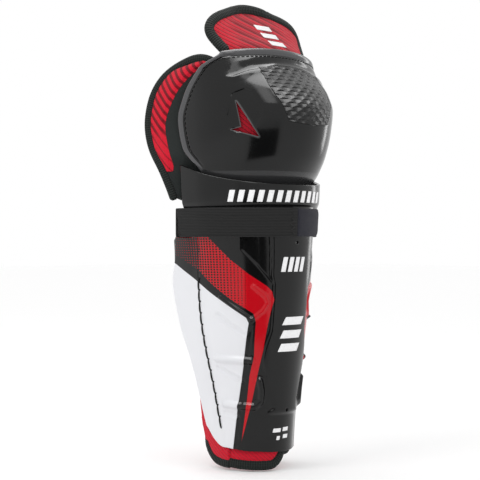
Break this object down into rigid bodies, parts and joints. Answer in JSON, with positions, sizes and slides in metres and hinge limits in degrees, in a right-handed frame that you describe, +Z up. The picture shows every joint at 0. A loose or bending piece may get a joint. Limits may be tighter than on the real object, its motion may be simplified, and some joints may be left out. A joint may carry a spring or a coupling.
{
  "type": "ice hockey shin guard",
  "caption": "Hockey shin guard for a right leg: domed knee cap over a wrapped shin shell, with padded thigh flap, knee wings, sewn calf wing, liner and an elastic strap with a hook tab.",
  "frame": {"origin": "on the leg's axis at the height of the knee cap's centre", "axes": "+Z up the leg, -Y out of the guard's front, -X towards the wearer's outer side of a right leg"},
  "size_m": [0.1424, 0.1285, 0.386],
  "materials": {
    "black_plastic": "glossy moulded polyethylene",
    "white_plastic": "satin white",
    "foam": "closed-cell foam",
    "black_fabric": "woven binding tape",
    "red_fabric": "quilted knit, printed with darker stripes",
    "elastic": "ribbed woven elastic",
    "hook_and_loop": "hook and loop tape",
    "thread": "waxed thread",
    "white_print": "raised print"
  },
  "bodies": {
    "shin": {"shin_shell": "black_plastic", "shin_foam": "foam", "shin_liner": "red_fabric", "liner_binding": "black_fabric", "liner_fastener_upper": "hook_and_loop", "liner_fastener_lower": "hook_and_loop", "calf_seam_thread": "thread", "knee_gusset": "black_fabric", "strap_loop_patch": "hook_and_loop", "strap_side_run": "elastic", "strap_back_run": "elastic"},
    "knee": {"knee_cap": "black_plastic", "knee_rim_thread": "thread", "knee_vent_lining": "red_fabric", "knee_foam": "foam", "knee_liner": "red_fabric"},
    "thigh_flap": {"thigh_flap_pad": "red_fabric", "thigh_flap_binding": "black_fabric", "thigh_flap_badge": "white_print"},
    "knee_wing_outer": {"knee_wing_outer_pad": "black_fabric", "knee_wing_outer_panel": "red_fabric", "knee_wing_outer_binding": "black_fabric"},
    "knee_wing_inner": {"knee_wing_inner_pad": "black_fabric", "knee_wing_inner_panel": "red_fabric", "knee_wing_inner_binding": "black_fabric"},
    "calf_wing": {"calf_wing_shell": "white_plastic", "calf_wing_pad": "red_fabric", "calf_wing_binding": "black_fabric"},
    "strap": {"strap_front_run": "elastic", "strap_hook_tab": "hook_and_loop"}
  },
  "joints": [
    {"name": "knee_flex", "type": "hinge", "parent": "shin", "child": "knee", "pos_m": [0, 0.008, -0.06], "axis": [1, 0, 0], "range_deg": [-10, 4], "stiffness_Nm_per_rad": 6, "deforming": ["knee_gusset"]},
    {"name": "thigh_flap_flex", "type": "hinge", "parent": "knee", "child": "thigh_flap", "pos_m": [0, -0.016, 0.047], "axis": [1, 0, 0], "range_deg": [-12, 25], "stiffness_Nm_per_rad": 0.5},
    {"name": "knee_wing_outer_flex", "type": "hinge", "parent": "knee", "child": "knee_wing_outer", "pos_m": [-0.0605, 0.013, 0], "axis": [0, 0, 1], "range_deg": [-8, 18], "stiffness_Nm_per_rad": 0.5},
    {"name": "knee_wing_inner_flex", "type": "hinge", "parent": "knee", "child": "knee_wing_inner", "pos_m": [0.0605, 0.013, 0], "axis": [0, 0, -1], "range_deg": [-8, 16], "stiffness_Nm_per_rad": 0.5},
    {"name": "calf_wing_flex", "type": "hinge", "parent": "shin", "child": "calf_wing", "pos_m": [-0.0355, -0.0062, -0.286], "axis": [-0.1066, 0.0675, 0.992], "range_deg": [-6, 25], "stiffness_Nm_per_rad": 0.5},
    {"name": "strap_open", "type": "hinge", "parent": "shin", "child": "strap", "pos_m": [-0.0625, 0.0235, -0.0955], "axis": [0, 0, -1], "range_deg": [0, 110]}
  ]
}
